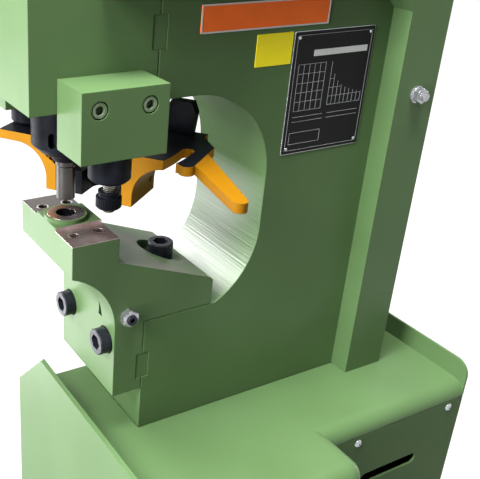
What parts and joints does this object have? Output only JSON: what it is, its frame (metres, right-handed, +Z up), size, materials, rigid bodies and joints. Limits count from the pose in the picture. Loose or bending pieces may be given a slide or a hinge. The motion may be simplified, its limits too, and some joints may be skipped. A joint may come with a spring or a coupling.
{
  "type": "hydraulic hole punch",
  "caption": "Hydraulic hole punch: deep-throated C-frame head with punch, die and swing-away stripper on a green sheet-metal cabinet that holds its power pack",
  "frame": {"origin": "floor level, at the centre of the four anchor holes in the base plate", "axes": "+X to the side with the hose duct and lever, +Y from front to rear, +Z up"},
  "size_m": [0.385, 0.5985, 1.34],
  "materials": {
    "frame_green": "smooth mid-green machine enamel over machined steel",
    "panel_green": "mid-green enamel on folded sheet steel",
    "stripper_yellow": "yellow-orange enamel with dark upper faces",
    "black_oxide": "black-oxide steel, low sheen",
    "tool_steel": "hardened tool steel with heat tint",
    "bare_steel": "bare machined steel",
    "zinc": "bright zinc plate",
    "bronze": "bearing bronze",
    "seal": "black sealing rubber",
    "tank_grey": "dark grey paint",
    "cast_grey": "cast aluminium",
    "black_plastic": "black moulded plastic",
    "grey_plastic": "light grey moulded plastic",
    "red_plastic": "red moulded plastic"
  },
  "bodies": {
    "machine": {"c_frame": "frame_green", "cylinder_block": "frame_green", "cylinder_key": "bare_steel", "cylinder_cover": "frame_green", "cover_screws": "black_oxide", "rod_guide": "bronze", "rod_seal": "seal", "die": "tool_steel", "die_holder": "frame_green", "holder_key": "bare_steel", "holder_front_screws": "black_oxide", "holder_top_screw": "black_oxide", "alignment_screws": "black_oxide", "alignment_nuts": "zinc", "near_bracket": "frame_green", "near_bracket_screws": "black_oxide", "far_bracket": "frame_green", "far_bracket_screws": "black_oxide", "near_column": "black_oxide", "clamp_stud": "bare_steel", "pivot_column": "black_oxide", "pivot_nut": "black_oxide", "hose_duct": "panel_green", "duct_fixing": "zinc", "advance_tube": "bare_steel", "retract_tube": "bare_steel", "tube_fittings": "zinc", "table_top": "panel_green", "front_panel": "panel_green", "rear_panel": "panel_green", "near_side_panel": "panel_green", "far_side_panel": "panel_green", "panel_screws": "zinc", "base_plate": "tank_grey", "support_frame": "panel_green", "frame_bolts": "black_oxide", "oil_tank": "tank_grey", "tank_lid": "tank_grey", "filler_breather": "black_plastic", "bell_housing": "cast_grey", "motor_housing": "cast_grey", "pump_body": "cast_grey", "valve_block": "cast_grey", "valve_solenoid": "black_plastic", "control_box": "grey_plastic"},
    "ram": {"piston_rod": "bare_steel", "piston_seal": "seal", "punch_nut": "black_oxide", "punch": "tool_steel"},
    "stripper": {"stripper_fork": "stripper_yellow", "stripper_insert": "black_oxide", "insert_screws": "black_oxide", "stripper_stop": "black_oxide", "stripper_lever": "stripper_yellow"},
    "clamp_washer": {"clamp_washer": "black_oxide"},
    "knurled_nut": {"knurled_nut": "black_oxide"},
    "pump_drive": {"motor_rotor": "bare_steel", "shaft_coupling": "zinc", "pump_shaft": "bare_steel"},
    "main_switch": {"main_switch": "red_plastic"}
  },
  "joints": [
    {"name": "ram_slide", "type": "slide", "parent": "machine", "child": "ram", "axis": [0, 0, -1], "range_m": [0, 0.022]},
    {"name": "stripper_swing", "type": "hinge", "parent": "machine", "child": "stripper", "pos_m": [-0.095, -0.25, 1.028], "axis": [0, 0, 1], "range_deg": [-36, 0]},
    {"name": "clamp_washer_slide", "type": "slide", "parent": "machine", "child": "clamp_washer", "axis": [0, 0, -1], "range_m": [0, 0.0035]},
    {"name": "knurled_nut_turn", "type": "hinge", "parent": "clamp_washer", "child": "knurled_nut", "pos_m": [0.095, -0.25, 1.013], "axis": [0, 0, -1], "range_deg": [0, 720]},
    {"name": "pump_drive_spin", "type": "hinge", "parent": "machine", "child": "pump_drive", "pos_m": [-0.005, 0.04, 0.4], "axis": [0, 0, 1], "continuous": true},
    {"name": "main_switch_turn", "type": "hinge", "parent": "machine", "child": "main_switch", "pos_m": [-0.075, 0.247, 0.47], "axis": [0, 1, 0], "range_deg": [0, 90]}
  ],
  "couplings": [
    {"joint": "clamp_washer_slide", "follows": "knurled_nut_turn", "m_per_rad": 0.00027852}
  ]
}
